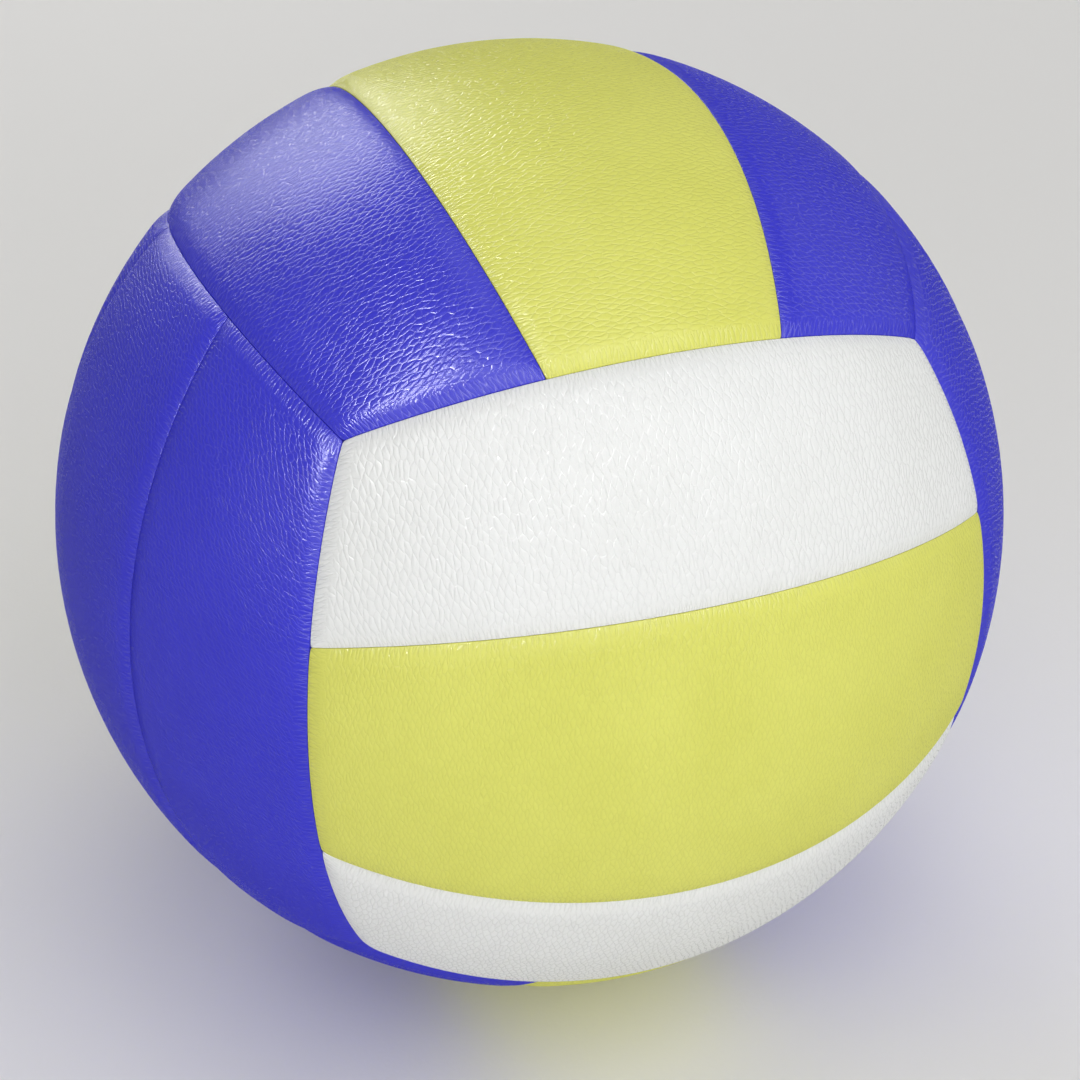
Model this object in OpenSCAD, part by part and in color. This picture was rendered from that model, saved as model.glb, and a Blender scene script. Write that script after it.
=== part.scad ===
// A volleyball: bladder, wound thread, rubber carcass, and 18 foam-backed panels,
// three strips on each of the six faces, with a needle valve in the back face.
// The ball's centre is the origin. The front face looks along -Y and the top face along +Z.

/* [Ball] */
// Diameter over the middles of the panels
ball_d = 210; // [180:1:240]

/* [Panel layout] */
// Width of the middle strip, as a share of its face
middle_strip_share = 0.335; // [0.27:0.005:0.42]

/* [Panels] */
// Thickness of the outer skin
skin_t = 0.9; // [0.6:0.1:1.2]
// Thickness of the foam pad under the middle of a panel
pad_t = 2.6; // [2.2:0.1:4]
// Rise of a panel's middle over its edges
crown_rise = 0.5; // [0.2:0.1:0.7]
// Radius of a panel's rounded edge
edge_r = 2.4; // [2:0.1:3]
// Width of the seam between two panels
seam_gap = 0.3; // [0.1:0.1:0.6]

/* [Inner layers] */
// Thickness of the rubber carcass
carcass_t = 0.7; // [0.5:0.1:1.5]
// Thickness of the wound thread
winding_t = 0.4; // [0.3:0.1:1]
// Thickness of the bladder
bladder_t = 0.6; // [0.5:0.1:1.2]
// Cement line between two bonded layers
bond_line = 0.05; // [0.02:0.01:0.1]

/* [Valve body] */
// Diameter of the boss that comes out through the cover
boss_d = 9; // [8:0.5:14]
// Depth of the boss below the panel round it
boss_sink = 0.4; // [0.2:0.1:0.8]
// Clearance between the boss and each layer that it passes
boss_fit = 0.1; // [0.05:0.05:0.3]
// Diameter of the flange inside the bladder
flange_d = 26; // [18:1:40]
// Thickness of the flange
flange_t = 1.2; // [0.8:0.1:2]

/* [Valve core] */
// Diameter of the needle channel
needle_d = 2; // [1.6:0.1:2.4]
// Length of the needle channel
channel_len = 12; // [10:0.5:14]
// Width of the channel's flared mouth
mouth_flare = 0.4; // [0.2:0.1:0.5]
// Rubber that closes the channel's inner end
lip_t = 1.6; // [1:0.1:2.5]
// Diameter of the core's head
head_d = 6; // [5.6:0.1:6.6]
// Thickness of the core's head
head_t = 1; // [0.8:0.1:1.4]
// Diameter of the core's neck
neck_d = 4; // [3.6:0.1:4.4]
// Diameter of the bulb that holds the core in
bulb_d = 5.4; // [5:0.1:5.8]
// Length of the bulb
bulb_len = 4; // [3:0.1:5]
// Length of the bulb that shows past the housing
bulb_out = 1.2; // [0.6:0.1:2]
// Clearance between the core and its housing
core_fit = 0.05; // [0.02:0.01:0.1]

/* [Hidden] */
$fn = 180;
ball_r = ball_d / 2;
edge_level = ball_r - crown_rise;
carcass_r = ball_r - skin_t - pad_t;
winding_r = carcass_r - carcass_t - bond_line;
bladder_r = winding_r - winding_t - bond_line;
flange_r = bladder_r - bladder_t - bond_line;
// Past the whole ball, for wedges and cuts
reach = 2 * ball_d;
pad_floor_r = carcass_r + bond_line;

// A face spans a right angle. These are the middles and half widths of its strips.
face_half = 45;
middle_half = atan(middle_strip_share);
side_half = (face_half - middle_half) / 2;
side_middle = (face_half + middle_half) / 2;

// The rounding runs out a little above the panel and past its wall, and crosses both at an angle
edge_runout_share = 0.13;
edge_runout = edge_r * edge_runout_share;
// Angle that a rounded edge is turned through, past both ends of a strip
edge_turn = 106;

boss_top = ball_r - boss_sink;
core_end = boss_top - mouth_flare - channel_len - lip_t;
bulb_top = core_end + bulb_len;
housing_end = core_end + bulb_out;

WHITE = "#e6e7e6";
YELLOW = "#dcdc80";
BLUE = "#4645c5";
SIDES = [-1, 0, 1];

// Each face: its name, how it is turned from +X, and the name and colour of its three strips
FACES = [
    ["front", [90, 0, -90], ["lower", "centre", "upper"], [WHITE, YELLOW, WHITE]],
    ["back", [90, 0, 90], ["lower", "centre", "upper"], [WHITE, YELLOW, WHITE]],
    ["left", [0, 180, 0], ["front", "centre", "back"], [BLUE, BLUE, BLUE]],
    ["right", [0, 0, 0], ["front", "centre", "back"], [BLUE, BLUE, BLUE]],
    ["top", [90, -90, 180], ["left", "centre", "right"], [BLUE, YELLOW, BLUE]],
    ["bottom", [90, 90, 0], ["left", "centre", "right"], [BLUE, YELLOW, BLUE]],
];
VALVE_FACE = FACES[1];

function strip_name(face, side, layer) = str(face[0], "_", face[2][side + 1], "_", layer);
function has_valve(face, side) = face == VALVE_FACE && side == 0;
function strip_half(side) = side == 0 ? middle_half : side_half;

// Radius of an arc that passes the ball's full radius in the middle and the edge level at an angle
function crown_r(half) =
    let (inward = ball_r - edge_level * cos(half), across = edge_level * sin(half))
    (inward * inward + across * across) / (2 * inward);

// The outline between two planes through the ball's centre, each moved inwards by inset
module wedge_outline(half, inset) {
    translate([inset / sin(half), 0])
        polygon([[0, 0], [reach, reach * tan(half)], [reach, -reach * tan(half)]]);
}

// The space that one strip's seams leave, with the strip along Z and its face looking along +X
module seam_wedge(side, inset) {
    intersection() {
        rotate([0, 0, side * side_middle])
            linear_extrude(reach, center = true)
                wedge_outline(strip_half(side), inset);
        rotate([90, 0, 0])
            linear_extrude(reach, center = true)
                wedge_outline(face_half, inset);
    }
}

// A surface that bulges across the strip and along it, lowered by sink
module crown(side, sink) {
    across_r = crown_r(strip_half(side));
    along_r = crown_r(face_half);
    rotate([0, 0, side * side_middle])
        translate([ball_r - along_r, 0, 0])
            rotate([-90, 0, 180])
                rotate_extrude()
                    intersection() {
                        translate([along_r - across_r, 0])
                            circle(across_r - sink);
                        translate([0, -reach / 2])
                            square([reach, reach]);
                    }
}

// What a rounded edge takes away along a seam in the XZ plane, on the side that looks along -Y
module edge_ring(sink) {
    centre_r = edge_level + edge_runout - edge_r;
    centre_in = seam_gap / 2 - edge_runout + edge_r;
    rotate([90, 0, 0])
        rotate([0, 0, -edge_turn / 2])
            rotate_extrude(angle = edge_turn)
                difference() {
                    translate([centre_r, -edge_r])
                        square([2 * edge_r, centre_in + edge_r]);
                    translate([centre_r, centre_in])
                        circle(edge_r - sink);
                }
}

module edge_rings(side, sink) {
    rotate([0, 0, side * side_middle + strip_half(side)])
        edge_ring(sink);
    rotate([0, 0, side * side_middle - strip_half(side)])
        mirror([0, 1, 0])
            edge_ring(sink);
    for (turn = [90, -90])
        rotate([turn, 0, 0])
            rotate([0, 0, face_half])
                edge_ring(sink);
}

// One strip from the ball's centre outwards, with its top and walls moved in by sink
module strip(side, sink) {
    difference() {
        intersection() {
            crown(side, sink);
            seam_wedge(side, seam_gap / 2 + sink);
        }
        edge_rings(side, sink);
    }
}

// The ball inside the panels. It is turned so that its own edge lies on the far side.
module pad_floor() {
    rotate([0, 0, 180])
        sphere(pad_floor_r);
}

module boss_hole(face, side) {
    if (has_valve(face, side))
        rotate([0, 90, 0])
            cylinder(h = reach, r = boss_d / 2 + boss_fit);
}

// The skin covers the top of its pad and is turned down its sides to the carcass
module skin(face, side) {
    color(face[3][side + 1])
        rotate(face[1])
            difference() {
                strip(side, 0);
                strip(side, skin_t);
                pad_floor();
                boss_hole(face, side);
            }
}

module pad(face, side) {
    color("#cfc8b4")
        rotate(face[1])
            difference() {
                strip(side, skin_t + bond_line);
                pad_floor();
                boss_hole(face, side);
            }
}

// One round layer of the ball's inside, with the hole that the valve's boss passes through
module shell(outer_r, thickness) {
    difference() {
        sphere(outer_r);
        sphere(outer_r - thickness);
        rotate(VALVE_FACE[1])
            boss_hole(VALVE_FACE, 0);
    }
}

module carcass() {
    color("#4a4a48")
        shell(carcass_r, carcass_t);
}

module winding() {
    color("#d9d4c0")
        shell(winding_r, winding_t);
}

module bladder() {
    color("#2c2c2e")
        shell(bladder_r, bladder_t);
}

// An outline of radius and distance from the ball's centre, revolved round the valve's axis
module revolved_valve() {
    rotate(VALVE_FACE[1])
        rotate([0, 90, 0])
            rotate_extrude()
                children();
}

// The core's head, neck and bulb, grown by fit and run past both ends by over
module core_outline(fit, over) {
    translate([0, boss_top - head_t - fit])
        square([head_d / 2 + fit, head_t + fit + over]);
    translate([0, core_end])
        square([neck_d / 2 + fit, boss_top - core_end]);
    translate([0, core_end - over])
        square([bulb_d / 2 + fit, over + bulb_len + fit]);
}

// The flange is cemented under the bladder, and the housing holds the core
module valve_body() {
    color("#3a3a3c")
        revolved_valve()
            difference() {
                union() {
                    translate([0, housing_end])
                        square([boss_d / 2, boss_top - housing_end]);
                    intersection() {
                        difference() {
                            circle(flange_r);
                            circle(flange_r - flange_t);
                        }
                        square([flange_d / 2, ball_r]);
                    }
                }
                core_outline(core_fit, bulb_len);
            }
}

// The needle channel is open at its flared mouth and closed at the lips
module valve_core() {
    channel_top = boss_top - mouth_flare;
    color("#f0efe9")
        revolved_valve()
            difference() {
                core_outline(0, 0);
                translate([0, channel_top - channel_len])
                    square([needle_d / 2, channel_len]);
                polygon([
                    [0, channel_top],
                    [needle_d / 2, channel_top],
                    [needle_d / 2 + mouth_flare, boss_top],
                    [0, boss_top],
                ]);
            }
}

bladder();
winding();
carcass();
valve_body();
valve_core();
for (face = FACES, side = SIDES) {
    pad(face, side);
    skin(face, side);
}
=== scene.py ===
import math

import bpy
import numpy as np
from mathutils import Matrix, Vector


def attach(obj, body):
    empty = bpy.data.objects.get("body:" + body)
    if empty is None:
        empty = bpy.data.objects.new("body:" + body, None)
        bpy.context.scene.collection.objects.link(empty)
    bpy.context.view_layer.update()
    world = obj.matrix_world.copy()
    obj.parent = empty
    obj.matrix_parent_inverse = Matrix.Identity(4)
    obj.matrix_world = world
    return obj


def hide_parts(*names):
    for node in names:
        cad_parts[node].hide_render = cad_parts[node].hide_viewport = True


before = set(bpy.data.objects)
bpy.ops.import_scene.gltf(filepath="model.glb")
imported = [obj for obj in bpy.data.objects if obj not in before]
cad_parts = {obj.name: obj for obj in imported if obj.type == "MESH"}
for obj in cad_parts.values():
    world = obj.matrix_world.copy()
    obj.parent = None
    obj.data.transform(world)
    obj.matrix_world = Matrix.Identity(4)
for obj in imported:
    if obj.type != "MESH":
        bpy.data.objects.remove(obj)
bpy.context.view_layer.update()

# A volleyball on a pale floor. Lengths are in millimetres here and turn to metres where a mesh is made.
MM = 0.001

# The ball, and where its panels are cemented down
BALL_R = 105.0
PANEL_FOOT_R = 101.6
SKIN_T = 0.9

# The strips of a face, as angles round the ball's centre
FACE_HALF = math.radians(45)
MIDDLE_HALF = math.atan(0.335)
SIDE_HALF = (FACE_HALF - MIDDLE_HALF) / 2
SIDE_MIDDLE = (FACE_HALF + MIDDLE_HALF) / 2

# A panel's edge: half the seam, the tight turn into it, and the soft shoulder before it
SEAM_HALF = 0.03
EDGE_R = 0.14
CORNER_R = 0.45
SHOULDER_DROP = 0.95
SHOULDER_W = 5.8
SHOULDER_CURVE = 2.3
EDGE_TURNS = 5
SHOULDER_ROWS = (0.5, 0.9, 1.4, 2.0, 2.7, 3.5, 4.4, 5.5, 7.0)
GRID = 4.0
VALVE_GRID = 2.6

# The valve in the middle of the back face: its hole in the panel, its boss and flange, and its core
HOLE_R = 4.6
HOLE_LIP_R = 0.45
LIP_TURNS = 4
HOLE_RINGS = (0.2, 0.4, 0.58, 0.72, 0.83, 0.91)
HOLE_BLOCK = 6
DIMPLE_DROP = 0.3
DIMPLE_W = 5.0
BOSS_R = 4.5
BOSS_TOP = 104.6
FLANGE_OUTER_R = 99.65
FLANGE_REACH = 13.0
FLANGE_T = 1.2
CORE_FIT = 0.05
BOSS_ROUND = 0.35
CORE_ROUND = 0.2
HEAD_R = 3.0
HEAD_T = 1.0
HEAD_FALL = 0.08
HEAD_FLAT_R = 2.5
NECK_R = 2.0
BULB_R = 2.7
BULB_LEN = 4.0
BULB_OUT = 1.2
MOUTH_DEPTH = 0.4
MOUTH_R = 1.9
CHANNEL_R = 1.0
CHANNEL_LEN = 12.0
LIP_T = 1.6

# The angles in degrees over which an edge of the leather and of the valve is a hard one
PANEL_HARD_EDGE = 50
VALVE_HARD_EDGE = 40

# From the ball's centre to the floor's sides, in metres
FLOOR_REACH = 4.0

# The names and colours of a face's three strips
UPRIGHT, UPRIGHT_COLOURS = ("lower", "centre", "upper"), ("white", "yellow", "white")
SIDEWAYS, SIDEWAYS_COLOURS = ("front", "centre", "back"), ("blue", "blue", "blue")
LEVEL, LEVEL_COLOURS = ("left", "centre", "right"), ("blue", "yellow", "blue")

# Each face: its outward, across and along directions, and its strips
FACES = {
    "front": ((0, -1, 0), (0, 0, 1), (-1, 0, 0), UPRIGHT, UPRIGHT_COLOURS),
    "back": ((0, 1, 0), (0, 0, 1), (1, 0, 0), UPRIGHT, UPRIGHT_COLOURS),
    "left": ((-1, 0, 0), (0, 1, 0), (0, 0, -1), SIDEWAYS, SIDEWAYS_COLOURS),
    "right": ((1, 0, 0), (0, 1, 0), (0, 0, 1), SIDEWAYS, SIDEWAYS_COLOURS),
    "top": ((0, 0, 1), (1, 0, 0), (0, 1, 0), LEVEL, LEVEL_COLOURS),
    "bottom": ((0, 0, -1), (1, 0, 0), (0, -1, 0), LEVEL, LEVEL_COLOURS),
}

# The leather's grain: the length and width of each net's cells, and how far their creases wander
CELL, CELL_WANDER = (3.6, 1.4), (1.4, 1.1, 0)
FINE_CELL, FINE_WANDER = (2.0, 1.0), (0.7, 0.7, 0)
STREAK, STREAK_WANDER = (5.0, 1.1), (0.6, 1.0, 0)
# How many waves a millimetre each of its noises has
WANDER_WAVES = 0.25
PORE_WAVES = 2.4
SWELL_WAVES = 0.09
DRIFT_WAVES = 0.035
# Each panel is cut from its own part of the hide, and its streaks start at their own place
HIDE_STEP = (173.0, 91.0)
STREAK_STEP = 40.0

# Where a panel's leather differs: how it is turned on its face, in degrees, and how coarse its grain is
CUTS = {
    "left_front": (42, 0.8),
    "left_centre": (30, 0.8),
    "right_back": (35, 0.9),
    "front_upper": (0, 1.15),
    "front_centre": (0, 0.85),
}


def linear(hex_colour):
    """An sRGB hex colour as the linear colour that a shader takes."""
    parts = [int(hex_colour[i : i + 2], 16) / 255 for i in (1, 3, 5)]
    return [p / 12.92 if p <= 0.04045 else ((p + 0.055) / 1.055) ** 2.4 for p in parts] + [1.0]


def add(tree, kind, inputs=(), **settings):
    """Adds one node to a material, with its settings and what goes into it."""
    node = tree.nodes.new("ShaderNode" + kind)
    for name, value in settings.items():
        setattr(node, name, value)
    for name, value in dict(inputs).items():
        if isinstance(value, bpy.types.NodeSocket):
            tree.links.new(value, node.inputs[name])
        else:
            node.inputs[name].default_value = value
    return node


def new_material(name):
    """An empty material, its node tree and its output."""
    material = bpy.data.materials.new(name)
    material.use_nodes = True
    tree = material.node_tree
    tree.nodes.clear()
    return material, tree, tree.nodes.new("ShaderNodeOutputMaterial")


def panel_leather(name, colour, drift_colour, emboss, coat_shine, wall_shine):
    """Polyurethane leather on microfibre, embossed with a hide grain and pulled over the panel's foam.

    It shows a net of long, narrow cells between fine creases, which catch the lamps, and a soft gloss.
    Over a panel's shoulders the cells are pulled into close streaks that run into the seam.
    emboss is how many millimetres deep the roll pressed the grain.
    """
    material, tree, out = new_material(name)
    grain = add(tree, "UVMap", uv_map="grain").outputs[0]
    place = add(tree, "UVMap", uv_map="place").outputs[0]
    seam = add(tree, "SeparateXYZ", {0: add(tree, "UVMap", uv_map="seam").outputs[0]}).outputs
    st = add(tree, "SeparateXYZ", {0: place}).outputs

    # Creases wander by half a millimetre every few millimetres
    wander = add(tree, "TexNoise", {"Vector": grain, "Scale": WANDER_WAVES, "Detail": 2.0},
                 noise_dimensions="2D").outputs["Color"]
    shift = add(tree, "VectorMath", {0: wander, 1: (0.5, 0.5, 0.5)}, operation="SUBTRACT").outputs[0]

    def creases(spot, cell, wander_by):
        """A net of diamond cells: 0 in its creases, and pillowed up to 0.7 between them."""
        size = (math.sqrt(2) / cell[0], math.sqrt(2) / cell[1], 0)
        spot = add(tree, "VectorMath", {0: shift, 1: wander_by, 2: spot},
                   operation="MULTIPLY_ADD").outputs[0]
        spot = add(tree, "VectorMath", {0: spot, 1: size}, operation="MULTIPLY").outputs[0]
        spot = add(tree, "VectorRotate", {"Vector": spot, "Angle": math.radians(45)},
                   rotation_type="Z_AXIS").outputs[0]
        edge = add(tree, "TexVoronoi", {"Vector": spot, "Scale": 1.0, "Randomness": 0.6},
                   voronoi_dimensions="2D", feature="DISTANCE_TO_EDGE").outputs["Distance"]
        soft = add(tree, "Math", {0: edge, 1: 0.2}, operation="ADD").outputs[0]
        return add(tree, "Math", {0: edge, 1: soft}, operation="DIVIDE").outputs[0]

    # The hide's own cells, with a weaker net of finer ones over them
    cells = creases(grain, CELL, CELL_WANDER)
    small = creases(grain, FINE_CELL, FINE_WANDER)
    hide = add(tree, "Math", {0: small, 1: 0.15, 2: cells}, operation="MULTIPLY_ADD").outputs[0]

    # Streaks square to the nearest seam take over in the last few millimetres
    to_side = add(tree, "CombineXYZ", {0: seam[0], 1: st[1]}).outputs[0]
    to_end = add(tree, "CombineXYZ", {0: seam[1], 1: st[0]}).outputs[0]
    side_streaks = creases(to_side, STREAK, STREAK_WANDER)
    end_streaks = creases(to_end, STREAK, STREAK_WANDER)
    near_side = add(tree, "MapRange", {0: seam[0], 1: 3.8, 2: 1.0},
                    interpolation_type="SMOOTHSTEP").outputs[0]
    near_end = add(tree, "MapRange", {0: seam[1], 1: 5.0, 2: 1.5},
                   interpolation_type="SMOOTHSTEP").outputs[0]
    height = add(tree, "Mix", {0: near_side, 2: hide, 3: side_streaks}).outputs[0]
    height = add(tree, "Mix", {0: near_end, 2: height, 3: end_streaks}).outputs[0]

    # Pores of 0.1 mm are too fine to show, so they are drawn at 0.4 mm. The foam's swell is 11 mm long.
    pores = add(tree, "TexNoise", {"Vector": grain, "Scale": PORE_WAVES, "Detail": 1.0},
                noise_dimensions="2D").outputs[0]
    relief = add(tree, "Math", {0: pores, 1: 0.08, 2: height}, operation="MULTIPLY_ADD").outputs[0]
    swell = add(tree, "TexNoise", {"Vector": grain, "Scale": SWELL_WAVES, "Detail": 1.0},
                noise_dimensions="2D").outputs[0]
    relief = add(tree, "Math", {0: swell, 1: 0.8, 2: relief}, operation="MULTIPLY_ADD").outputs[0]
    sharp_bump = add(tree, "Bump", {"Height": relief, "Distance": emboss * MM}).outputs[0]
    soft_bump = add(tree, "Bump", {"Height": relief, "Distance": 0.6 * emboss * MM}).outputs[0]

    # The sheet's shade drifts a little over a panel
    drift = add(tree, "TexNoise", {"Vector": grain, "Scale": DRIFT_WAVES, "Detail": 2.0},
                noise_dimensions="2D").outputs[0]
    drift = add(tree, "MapRange", {0: drift, 1: 0.3, 2: 0.7, 3: 0.0, 4: 0.5}).outputs[0]
    paint = add(tree, "Mix", {0: drift, 6: linear(colour), 7: linear(drift_colour)},
                data_type="RGBA").outputs[2]

    # The embossing roll polished the crease walls, and the clear coat over all of it is nearly level.
    # Seen at a low angle, the grain hides most of its own gloss.
    facing = add(tree, "LayerWeight", {"Blend": 0.5}).outputs["Facing"]
    gloss = add(tree, "MapRange", {0: facing, 1: 0.1, 2: 0.85, 3: 1.0, 4: 0.15},
                interpolation_type="SMOOTHSTEP").outputs[0]
    polish = add(tree, "MapRange", {0: height, 1: 0.4, 2: 0.1, 3: 0.0, 4: wall_shine},
                 interpolation_type="SMOOTHSTEP").outputs[0]
    polish = add(tree, "Math", {0: polish, 1: gloss}, operation="MULTIPLY").outputs[0]
    coat = add(tree, "Math", {0: gloss, 1: coat_shine}, operation="MULTIPLY").outputs[0]
    shader = add(tree, "BsdfPrincipled", {
        "Base Color": paint, "Roughness": 0.2, "IOR": 1.5, "Specular IOR Level": polish,
        "Normal": sharp_bump, "Coat Weight": coat, "Coat Roughness": 0.2, "Coat IOR": 1.5,
        "Coat Normal": soft_bump,
    })
    tree.links.new(shader.outputs[0], out.inputs[0])
    return material


def moulded_rubber(name, colour, worn_colour, roughness, pitch):
    """Rubber cured in a steel mould: matt, with the mould's fine blasted grain and a faint bloom."""
    material, tree, out = new_material(name)
    spot = add(tree, "TexCoord").outputs["Object"]
    grit = add(tree, "TexNoise", {"Vector": spot, "Scale": 1 / (pitch * MM), "Detail": 3.0}).outputs[0]
    bloom = add(tree, "TexNoise", {"Vector": spot, "Scale": 90.0, "Detail": 2.0}).outputs[0]
    bloom = add(tree, "MapRange", {0: bloom, 1: 0.4, 2: 0.7}).outputs[0]
    paint = add(tree, "Mix", {0: bloom, 6: linear(colour), 7: linear(worn_colour)},
                data_type="RGBA").outputs[2]
    rough = add(tree, "MapRange", {0: bloom, 3: roughness, 4: roughness + 0.12}).outputs[0]
    bump = add(tree, "Bump", {"Height": grit, "Distance": pitch * MM * 0.12}).outputs[0]
    shader = add(tree, "BsdfPrincipled",
                 {"Base Color": paint, "Roughness": rough, "IOR": 1.52, "Normal": bump})
    tree.links.new(shader.outputs[0], out.inputs[0])
    return material


def cell_foam(name, colour, shaded_pit_colour):
    """Closed-cell polyethylene foam, sliced: matt, with the open halves of its 0.5 mm cells, whose pits
    are painted darker as shade.
    """
    material, tree, out = new_material(name)
    spot = add(tree, "TexCoord").outputs["Object"]
    cells = add(tree, "TexVoronoi", {"Vector": spot, "Scale": 1 / (0.5 * MM)},
                feature="F1").outputs["Distance"]
    pits = add(tree, "MapRange", {0: cells, 1: 0.2, 2: 0.65},
               interpolation_type="SMOOTHSTEP").outputs[0]
    # Painted shade: the pits of the open cells take the darker colour
    paint = add(tree, "Mix", {0: pits, 6: linear(shaded_pit_colour), 7: linear(colour)},
                data_type="RGBA").outputs[2]
    bump = add(tree, "Bump", {"Height": pits, "Distance": 0.1 * MM}).outputs[0]
    shader = add(tree, "BsdfPrincipled",
                 {"Base Color": paint, "Roughness": 0.85, "IOR": 1.5, "Normal": bump})
    tree.links.new(shader.outputs[0], out.inputs[0])
    return material


def wound_thread(name, colour, shaded_gap_colour):
    """Polyester thread wound round the bladder in many directions and sealed with latex. The gaps
    between threads are painted darker, as shade.
    """
    material, tree, out = new_material(name)
    spot = add(tree, "TexCoord").outputs["Object"]
    top = None
    for turn in ((0.3, 0.2, 0.0), (1.1, 0.7, 0.4), (0.5, 1.9, 1.2)):
        laid = add(tree, "Mapping", {"Vector": spot, "Rotation": turn}).outputs[0]
        # Threads lie 0.6 mm apart. A wave node's line repeats every 2 pi / 20 of its vector.
        wave = add(tree, "TexWave", {
            "Vector": laid, "Scale": 2 * math.pi / 20 / (0.6 * MM), "Distortion": 1.2,
            "Detail": 1.0, "Detail Scale": 0.02,
        }, bands_direction="X").outputs[1]
        if top is None:
            top = wave
        else:
            top = add(tree, "Math", {0: top, 1: wave}, operation="MAXIMUM").outputs[0]
    # Painted shade: the gaps between the threads take the darker colour
    paint = add(tree, "Mix", {0: top, 6: linear(shaded_gap_colour), 7: linear(colour)},
                data_type="RGBA").outputs[2]
    bump = add(tree, "Bump", {"Height": top, "Distance": 0.15 * MM}).outputs[0]
    shader = add(tree, "BsdfPrincipled",
                 {"Base Color": paint, "Roughness": 0.6, "IOR": 1.53, "Normal": bump})
    tree.links.new(shader.outputs[0], out.inputs[0])
    return material


def pale_rays(tree):
    """1 for the rays that see the pale background: the camera's, and those of gloss and glass."""
    path = add(tree, "LightPath").outputs
    seen = add(tree, "Math", {0: path["Is Camera Ray"], 1: path["Is Glossy Ray"]},
               operation="MAXIMUM").outputs[0]
    return add(tree, "Math", {0: seen, 1: path["Is Transmission Ray"]},
               operation="MAXIMUM").outputs[0]


def studio_paper(name, colour, far_colour):
    """Matt seamless paper with a barely uneven tooth."""
    material, tree, out = new_material(name)
    spot = add(tree, "TexCoord").outputs["Object"]
    tooth = add(tree, "TexNoise", {"Vector": spot, "Scale": 900.0, "Detail": 2.0}).outputs[0]
    bump = add(tree, "Bump", {"Height": tooth, "Distance": 0.00003}).outputs[0]
    shader = add(tree, "BsdfPrincipled", {
        "Base Color": linear(colour), "Roughness": 0.9, "Normal": bump, "Specular IOR Level": 0.0,
    }).outputs[0]
    # Away from the ball and its shadow, the paper shows its own pale colour and not the lamps' pools
    away = add(tree, "VectorMath", {0: spot}, operation="LENGTH").outputs["Value"]
    far = add(tree, "MapRange", {0: away, 1: 0.45, 2: 1.3},
              interpolation_type="SMOOTHSTEP").outputs[0]
    seen = add(tree, "Math", {0: pale_rays(tree), 1: far}, operation="MULTIPLY").outputs[0]
    pale = add(tree, "Emission", {"Color": linear(far_colour), "Strength": 1.0}).outputs[0]
    floor = add(tree, "MixShader", {0: seen, 1: shader, 2: pale}).outputs[0]
    tree.links.new(floor, out.inputs[0])
    return material


LEATHERS = {
    "white": panel_leather("white_panel_leather", "#e7e8e7", "#e2e3e1", 0.17, 0.08, 0.5),
    "yellow": panel_leather("yellow_panel_leather", "#d9da6d", "#d2d364", 0.14, 0.2, 0.4),
    "blue": panel_leather("blue_panel_leather", "#3938c9", "#3433c1", 0.09, 0.42, 0.5),
}
VALVE_RUBBER = moulded_rubber("valve_boss_rubber", "#3a3a3c", "#4a4a4b", 0.5, 0.35)
CORE_RUBBER = moulded_rubber("valve_core_rubber", "#eeede6", "#dedcd2", 0.42, 0.35)
CARCASS_RUBBER = moulded_rubber("carcass_rubber", "#4a4a48", "#5a5a57", 0.62, 0.8)
BLADDER_RUBBER = moulded_rubber("bladder_rubber", "#2c2c2e", "#3a3a3d", 0.4, 1.2)
PAD_FOAM = cell_foam("pad_foam", "#cfc8b4", "#a89f88")
THREAD = wound_thread("winding_thread", "#d9d4c0", "#8d8770")


def at(alpha, across, beta, along, r):
    """Points of radius r at these distances from the planes at angles alpha and beta.

    Both planes pass the ball's centre. Each point is a sum of their normals, weighted by p and q, and of
    the direction in which the planes meet.
    """
    n_a = np.stack([-np.sin(alpha), np.cos(alpha), 0 * alpha], -1)
    n_b = np.stack([-np.sin(beta), 0 * beta, np.cos(beta)], -1)
    both = np.cross(n_a, n_b)
    g = np.sin(alpha) * np.sin(beta)
    c, e = across / r, along / r
    p, q = (c - g * e) / (1 - g * g), (e - g * c) / (1 - g * g)
    flat = p[..., None] * n_a + q[..., None] * n_b
    out = both / np.linalg.norm(both, axis=-1, keepdims=True)
    return r[..., None] * (flat + out * np.sqrt(1 - (flat * flat).sum(-1))[..., None])


def edge_distances():
    """How far a panel's rows lie from its edge, through the tight turn and the shoulder."""
    turns = [EDGE_R * (1 - math.cos(math.pi / 2 * k / EDGE_TURNS)) for k in range(EDGE_TURNS + 1)]
    return turns + list(SHOULDER_ROWS)


def rows(low, high, grid):
    """A panel's rows from seam to seam: a plane's angle, how far from it, and how far from the edge."""
    edges = edge_distances()
    inset = SEAM_HALF + edges[-1]
    count = max(2, round((BALL_R * (high - low) - 2 * inset) / grid))
    found = [(low, SEAM_HALF + e, e) for e in edges]
    for k in range(1, count):
        t = k / count
        found.append((low + t * (high - low), (1 - 2 * t) * inset, math.inf))
    return found + [(high, -SEAM_HALF - e, e) for e in reversed(edges)]


def shoulder_drop(distance):
    """How far the leather lies under its crown at this distance from a seam."""
    return SHOULDER_DROP * np.clip(1 - distance / SHOULDER_W, 0, 1) ** SHOULDER_CURVE


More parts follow.
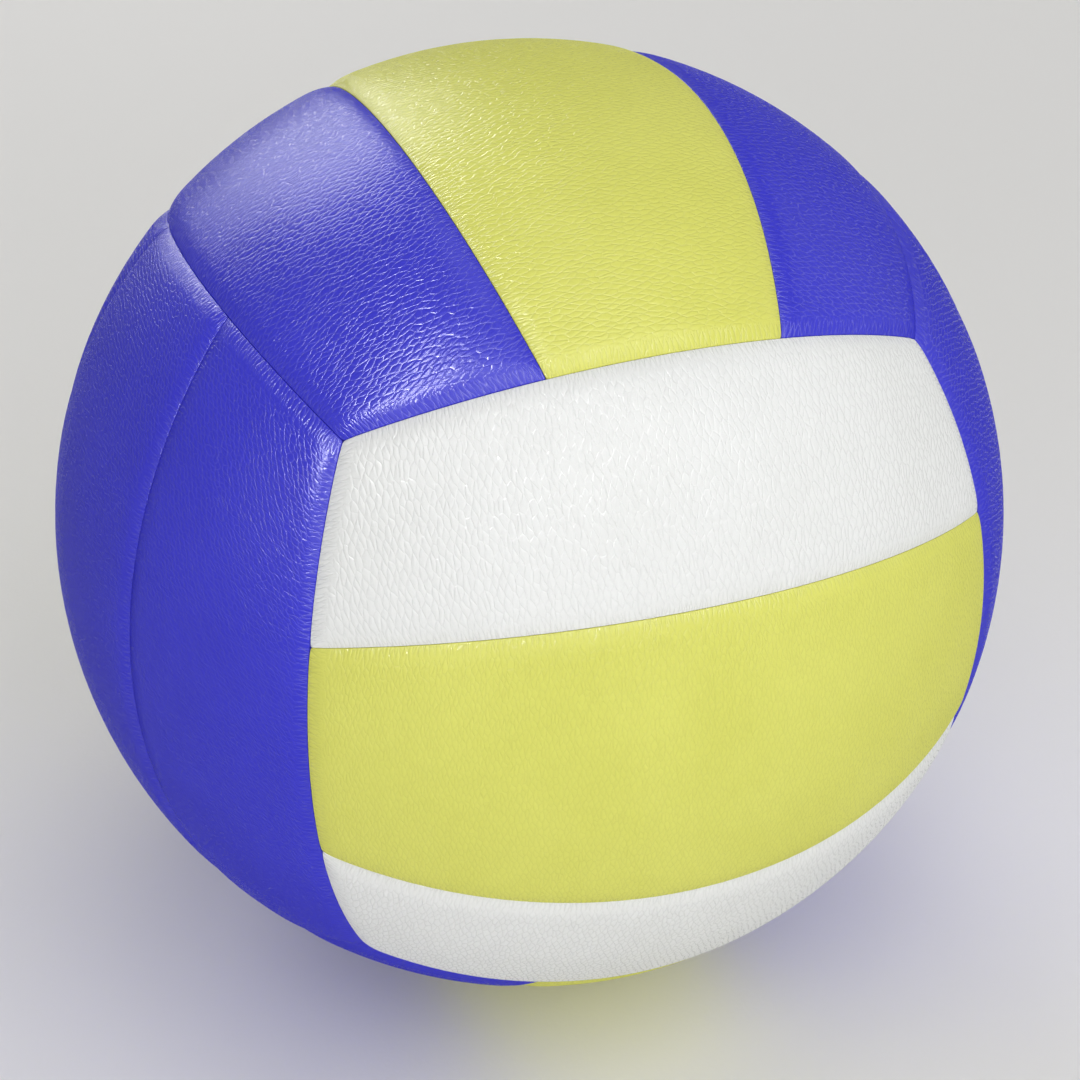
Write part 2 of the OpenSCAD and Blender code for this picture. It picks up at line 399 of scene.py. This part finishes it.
class Panel:
    """One strip's leather: its top, its walls down to the carcass, and the same again on its inside."""

    def __init__(self, low, high, hole):
        self.low, self.high, self.hole = low, high, hole
        self.points, self.faces = [], []
        grid = VALVE_GRID if hole else GRID
        across, along = rows(low, high, grid), rows(-FACE_HALF, FACE_HALF, grid)
        outer_top, outer_foot = self.side(across, along, 0.0)
        inner_top, inner_foot = self.side(across, along, SKIN_T)
        for top, foot, flip in ((outer_top, outer_foot, False), (inner_top, inner_foot, True)):
            for upper, lower in zip(foot, foot[1:]):
                self.band(upper, lower, flip)
        self.band(outer_foot[-1], inner_foot[-1], False)
        if hole:
            outer_hole = self.valve_hole(outer_top, across, along, 0.0)
            inner_hole = self.valve_hole(inner_top, across, along, SKIN_T)
            self.band(inner_hole, outer_hole, False)

    def keep(self, points):
        """Adds points and gives their numbers."""
        first = len(self.points)
        self.points.extend(points.reshape(-1, 3))
        return np.arange(first, len(self.points)).reshape(points.shape[:-1])

    def band(self, upper, lower, flip):
        """A closed band of faces between two loops."""
        for k in range(len(upper)):
            n = (k + 1) % len(upper)
            face = (upper[k], lower[k], lower[n], upper[n])
            self.faces.append(face[::-1] if flip else face)

    def drop(self, points):
        """How far the shoulders lower the leather at these points."""
        total = 0.0
        for angle in (self.low, self.high):
            side = np.array([-math.sin(angle), math.cos(angle), 0])
            total = total + shoulder_drop(np.abs(points @ side)) ** 2
        for angle in (-FACE_HALF, FACE_HALF):
            end = np.array([-math.sin(angle), 0, math.cos(angle)])
            total = total + shoulder_drop(np.abs(points @ end)) ** 2
        return np.sqrt(total)

    def side(self, across, along, sink):
        """The leather's outside, or its inside at sink: the numbers of its top and of its loops down."""
        shape = (len(across), len(along))
        alpha, a_off, a_edge = (np.broadcast_to(np.array(x)[:, None], shape) for x in zip(*across))
        beta, b_off, b_edge = (np.broadcast_to(np.array(x)[None, :], shape) for x in zip(*along))
        # Square corners are turned into round ones by mapping the square onto the disc
        u = np.clip(1 - a_edge / CORNER_R, 0, 1)
        v = np.clip(1 - b_edge / CORNER_R, 0, 1)
        u_in, v_in = u * np.sqrt(1 - v * v / 2), v * np.sqrt(1 - u * u / 2)
        round_edge = CORNER_R * (1 - np.hypot(u_in, v_in))
        edge = np.where((u > 0) & (v > 0), round_edge, np.minimum(a_edge, b_edge))
        inset = SEAM_HALF + edge_distances()[-1]
        pull = 1 - sink / inset
        a_off = a_off + np.sign(a_off) * CORNER_R * (u - u_in)
        b_off = b_off + np.sign(b_off) * CORNER_R * (v - v_in)
        a_off, b_off = (np.where(np.isfinite(e), np.sign(o) * (np.abs(o) * pull + sink), o)
                        for o, e in ((a_off, a_edge), (b_off, b_edge)))
        full = np.full(shape, BALL_R)
        r = BALL_R - self.drop(at(alpha, a_off, beta, b_off, full)) - sink
        if sink == 0:
            turn = np.clip(1 - edge / EDGE_R, 0, 1)
            r = r - EDGE_R * (1 - np.sqrt(1 - turn * turn))
        top = self.keep(at(alpha, a_off, beta, b_off, r))
        inside = self.block(across, along) if self.hole else None
        for i in range(shape[0] - 1):
            for j in range(shape[1] - 1):
                if inside and inside[0] <= i < inside[1] and inside[2] <= j < inside[3]:
                    continue
                face = (top[i, j], top[i + 1, j], top[i + 1, j + 1], top[i, j + 1])
                self.faces.append(face[::-1] if sink else face)
        ring = self.loop(0, shape[0] - 1, 0, shape[1] - 1)
        i, j = np.array(ring).T
        foot = [top[i, j]]
        for share in (0.5, 1.0):
            level = r[i, j] + (PANEL_FOOT_R - r[i, j]) * share
            foot.append(self.keep(at(alpha[i, j], a_off[i, j], beta[i, j], b_off[i, j], level)))
        return top, foot

    @staticmethod
    def loop(i0, i1, j0, j1):
        """The places round a block of the grid, anticlockwise as seen from outside."""
        return (
            [(i, j0) for i in range(i0, i1)]
            + [(i1, j) for j in range(j0, j1)]
            + [(i, j1) for i in range(i1, i0, -1)]
            + [(i0, j) for j in range(j1, j0, -1)]
        )

    @staticmethod
    def block(across, along):
        """The middle of the grid, which the valve's rings take the place of."""
        i, j = len(across) // 2, len(along) // 2
        return i - HOLE_BLOCK, i + HOLE_BLOCK, j - HOLE_BLOCK, j + HOLE_BLOCK

    def valve_hole(self, top, across, along, sink):
        """Rings from the grid to the valve's hole and down its wall. Gives the numbers of the foot."""
        ring = self.loop(*self.block(across, along))
        last = top[tuple(np.array(ring).T)]
        start = np.array([self.points[n] for n in last])
        angle = np.arctan2(start[:, 2], start[:, 1])
        reach = np.hypot(start[:, 1], start[:, 2])
        hole_r = HOLE_R + sink
        lip = HOLE_LIP_R if sink == 0 else 0.0
        steps = [(share, None) for share in HOLE_RINGS]
        if lip:
            turns = [math.pi / 2 * k / LIP_TURNS for k in range(LIP_TURNS, -1, -1)]
            steps += [(None, lip * (1 - math.cos(turn))) for turn in turns]
        else:
            steps.append((None, 0.0))
        for share, past in steps:
            if share is None:
                ring_r = np.full(len(ring), hole_r + past)
            else:
                ring_r = reach + (hole_r + lip - reach) * share
            dimple = DIMPLE_DROP * np.clip(1 - (ring_r - hole_r) / DIMPLE_W, 0, 1) ** 2
            fall = 0.0
            if share is None and lip:
                fall = lip * (1 - math.sqrt(max(0, 1 - (1 - past / lip) ** 2)))
            last = self.ring_step(last, ring_r, angle, BALL_R - sink - dimple - fall, sink > 0)
        wall, foot = np.full(len(ring), hole_r), np.full(len(ring), PANEL_FOOT_R)
        return self.ring_step(last, wall, angle, foot, sink > 0)

    def ring_step(self, last, ring_r, angle, r, flip):
        """One more ring towards the valve, joined to the last one."""
        y, z = ring_r * np.cos(angle), ring_r * np.sin(angle)
        ring = self.keep(np.stack([np.sqrt(r * r - y * y - z * z), y, z], -1))
        self.band(ring, last, flip)
        return ring


def panel_maps(points, low, high, turn, coarse, number):
    """A panel's maps in millimetres: its place on the hide, its place on the strip, and its seams."""
    middle = (low + high) / 2
    n_mid = np.array([-math.sin(middle), math.cos(middle), 0])
    out_mid = np.array([math.cos(middle), math.sin(middle), 0])
    r = np.linalg.norm(points, axis=1)
    across = BALL_R * np.arcsin(points @ n_mid / r)
    along = BALL_R * np.arctan2(points[:, 2], points @ out_mid)
    sides = [np.abs(points @ np.array([-math.sin(a), math.cos(a), 0])) for a in (low, high)]
    ends = [
        np.abs(points @ np.array([-math.sin(a), 0, math.cos(a)])) for a in (-FACE_HALF, FACE_HALF)
    ]
    c, s = math.cos(turn) / coarse, math.sin(turn) / coarse
    grain = np.stack([
        across * c - along * s + HIDE_STEP[0] * number,
        across * s + along * c + HIDE_STEP[1] * number,
    ], -1)
    return {
        "grain": grain,
        "place": np.stack([across + STREAK_STEP * number, along], -1),
        "seam": np.stack([np.minimum(*sides), np.minimum(*ends)], -1),
    }


def piece(name, points, faces, material, smooth_angle, maps=None):
    """A mesh piece from points in metres, with its maps and its material."""
    mesh = bpy.data.meshes.new(name)
    mesh.from_pydata([tuple(p) for p in points], [], [tuple(int(n) for n in f) for f in faces])
    corners = np.zeros(len(mesh.loops), np.int32)
    mesh.loops.foreach_get("vertex_index", corners)
    for map_name, values in (maps or {}).items():
        layer = mesh.uv_layers.new(name=map_name)
        layer.uv.foreach_set("vector", values[corners].astype(np.float32).ravel())
    mesh.materials.append(material)
    mesh.shade_smooth()
    mesh.set_sharp_from_angle(angle=math.radians(smooth_angle))
    made = bpy.data.objects.new(name, mesh)
    bpy.context.scene.collection.objects.link(made)
    return made


def leather_panels():
    """The 18 panels, each in the place of its skin in the CAD model."""
    number = 0
    for face, (out, across, along, strips, colours) in FACES.items():
        to_world = np.array([out, across, along], float)
        for side in (-1, 0, 1):
            half = SIDE_HALF if side else MIDDLE_HALF
            low, high = side * SIDE_MIDDLE - half, side * SIDE_MIDDLE + half
            strip, colour = strips[side + 1], colours[side + 1]
            panel = Panel(low, high, face == "back" and side == 0)
            points = np.array(panel.points)
            turn, coarse = CUTS.get(f"{face}_{strip}", (0, 1.0))
            maps = panel_maps(points, low, high, math.radians(turn), coarse, number)
            placed = points @ to_world * MM
            leather = LEATHERS[colour]
            cover = piece(f"{face}_{strip}_panel", placed, panel.faces, leather, PANEL_HARD_EDGE, maps)
            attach(cover, "root")
            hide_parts(f"{face}_{strip}_skin")
            number += 1


def rounded(outline, radius, steps=4):
    """A closed outline with its corners off the axis turned to arcs."""
    found = []
    for k, here in enumerate(outline):
        before, after = Vector(outline[k - 1]), Vector(outline[(k + 1) % len(outline)])
        here = Vector(here)
        if here.x == 0:
            found.append(here)
            continue
        r = min(radius, (before - here).length * 0.45, (after - here).length * 0.45)
        start = here + (before - here).normalized() * r
        end = here + (after - here).normalized() * r
        for n in range(steps + 1):
            t = n / steps
            found.append(start.lerp(here, t).lerp(here.lerp(end, t), t))
    return found


def turned(name, outline, material, segments=96):
    """A piece turned round the valve's axis from an anticlockwise outline of radius and height."""
    points, rings = [], []
    for spot in outline:
        if spot[0] == 0:
            rings.append([len(points)] * segments)
            points.append((0, spot[1], 0))
        else:
            rings.append([len(points) + k for k in range(segments)])
            angles = [2 * math.pi * k / segments for k in range(segments)]
            points += [(spot[0] * math.cos(a), spot[1], -spot[0] * math.sin(a)) for a in angles]
    faces = []
    for k, ring in enumerate(rings):
        after = rings[(k + 1) % len(rings)]
        if ring[0] == ring[1] and after[0] == after[1]:
            continue
        for n in range(segments):
            m = (n + 1) % segments
            corners = dict.fromkeys((ring[n], ring[m], after[m], after[n]))
            faces.append(tuple(corners))
    return piece(name, np.array(points) * MM, faces, material, VALVE_HARD_EDGE)


def valve():
    """The rubber boss with its flange under the bladder, and the core that takes the needle."""
    core_end = BOSS_TOP - MOUTH_DEPTH - CHANNEL_LEN - LIP_T
    bulb_top = core_end + BULB_LEN + CORE_FIT
    head_under = BOSS_TOP - HEAD_T - CORE_FIT
    flange_inner_r = FLANGE_OUTER_R - FLANGE_T

    def arc(radius, shares):
        """Points of the flange's dome at these sixths of its reach."""
        across = [FLANGE_REACH * k / 6 for k in shares]
        return [(a, math.sqrt(radius**2 - a**2)) for a in across]

    body = rounded(
        [(BULB_R + CORE_FIT, core_end + BULB_OUT), (BOSS_R, core_end + BULB_OUT)]
        + [(BOSS_R, math.sqrt(flange_inner_r**2 - BOSS_R**2))]
        + arc(flange_inner_r, range(3, 7)) + arc(FLANGE_OUTER_R, range(6, 2, -1))
        + [(BOSS_R, math.sqrt(FLANGE_OUTER_R**2 - BOSS_R**2)), (BOSS_R, BOSS_TOP)]
        + [(HEAD_R + CORE_FIT, BOSS_TOP), (HEAD_R + CORE_FIT, head_under)]
        + [(NECK_R + CORE_FIT, head_under), (NECK_R + CORE_FIT, bulb_top)]
        + [(BULB_R + CORE_FIT, bulb_top)],
        BOSS_ROUND,
    )
    boss = turned("valve_boss", body, VALVE_RUBBER)
    channel_top = BOSS_TOP - MOUTH_DEPTH
    core = rounded(
        [(0, core_end), (BULB_R, core_end)]
        + [(BULB_R, core_end + BULB_LEN), (NECK_R, core_end + BULB_LEN)]
        + [(NECK_R, BOSS_TOP - HEAD_T), (HEAD_R, BOSS_TOP - HEAD_T), (HEAD_R, BOSS_TOP - HEAD_FALL)]
        + [(HEAD_FLAT_R, BOSS_TOP), (MOUTH_R, BOSS_TOP), (CHANNEL_R, channel_top)]
        + [(CHANNEL_R, channel_top - CHANNEL_LEN), (0, channel_top - CHANNEL_LEN)],
        CORE_ROUND,
    )
    plug = turned("valve_core_plug", core, CORE_RUBBER)
    for part, node, slot in ((boss, "valve_body", "valve_rubber"), (plug, "valve_core", "core_rubber")):
        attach(part, "root")
        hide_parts(node)


def inner_layers():
    """The layers that stay as the CAD model has them get their real finishes."""
    finishes = {"carcass": CARCASS_RUBBER, "winding": THREAD, "bladder": BLADDER_RUBBER}
    for name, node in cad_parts.items():
        material = PAD_FOAM if name.endswith("_pad") else finishes.get(name)
        if material:
            node.data.materials.clear()
            node.data.materials.append(material)


def studio():
    """The floor, the lamps and the camera."""
    mesh = bpy.data.meshes.new("studio_floor")
    corners = [(x * FLOOR_REACH, y * FLOOR_REACH, 0) for x, y in ((-1, -1), (1, -1), (1, 1), (-1, 1))]
    mesh.from_pydata(corners, [], [(0, 1, 2, 3)])
    mesh.materials.append(studio_paper("studio_paper", "#ecebe9", "#d6d5d3"))
    floor = bpy.data.objects.new("studio_floor", mesh)
    floor.location = (0, 0, -BALL_R * MM)
    bpy.context.scene.collection.objects.link(floor)

    # Each lamp: its name, its place, its width and height, and its power in watts
    lamps = (
        ("back_lamp", (-0.22, 1.59, 0.82), (0.95, 1.35), 7.0),
        ("back_card_lamp", (-0.22, 1.59, 0.82), (0.95, 1.35), 150.0),
        ("front_lamp", (0.0, -1.2, 1.35), (1.8, 1.2), 12.7),
        ("front_card_lamp", (0.0, -1.2, 1.35), (1.8, 1.2), 72.0),
        ("side_card_lamp", (-1.04, -0.73, 1.27), (0.16, 1.0), 32.0),
        ("top_lamp", (0.1, 0.1, 1.8), (1.0, 1.0), 4.5),
        ("fill_lamp", (-0.6, -1.85, 0.62), (2.4, 1.0), 19.0),
        ("left_lamp", (-1.9, -0.6, 0.5), (1.6, 0.9), 2.0),
        ("right_lamp", (2.0, -0.3, 0.8), (3.0, 1.7), 12.0),
        ("back_soft_lamp", (0.3, 1.9, 0.35), (2.2, 1.0), 8.0),
    )
    for name, place, size, power in lamps:
        data = bpy.data.lights.new(name, "AREA")
        data.shape, data.size, data.size_y = "RECTANGLE", *size
        data.energy = power
        lamp = bpy.data.objects.new(name, data)
        lamp.location = place
        lamp.visible_camera = False
        # Gloss shows the white cards and the lamps, and the cards light nothing else
        lamp.visible_diffuse = "card" not in name
        lamp.visible_glossy = "soft" not in name
        lamp.rotation_euler = (-Vector(place)).to_track_quat("-Z", "Y").to_euler()
        bpy.context.scene.collection.objects.link(lamp)

    world = bpy.data.worlds.new("studio_air")
    bpy.context.scene.world = world
    world.use_nodes = True
    tree = world.node_tree
    tree.nodes.clear()
    fill = add(tree, "Background", {"Color": linear("#ffffff"), "Strength": 0.15}).outputs[0]
    pale = add(tree, "Background", {"Color": linear("#d6d5d3"), "Strength": 1.0}).outputs[0]
    air = add(tree, "MixShader", {0: pale_rays(tree), 1: fill, 2: pale}).outputs[0]
    tree.links.new(air, tree.nodes.new("ShaderNodeOutputWorld").inputs[0])

    # The lens is as long, and stands as far off, as the strips' convergence in the photograph asks for
    data = bpy.data.cameras.new("camera")
    data.sensor_fit, data.sensor_width = "HORIZONTAL", 36.0
    data.lens, data.clip_start = 79.69, 0.01
    camera = bpy.data.objects.new("camera", data)
    camera.location = (-0.16712, -0.43723, 0.26832)
    camera.rotation_euler = Vector((0.3117, 0.8036, -0.5069)).to_track_quat("-Z", "Y").to_euler()
    bpy.context.scene.collection.objects.link(camera)
    bpy.context.scene.camera = camera
    bpy.context.scene.view_settings.view_transform = "Standard"


studio()
leather_panels()
valve()
inner_layers()
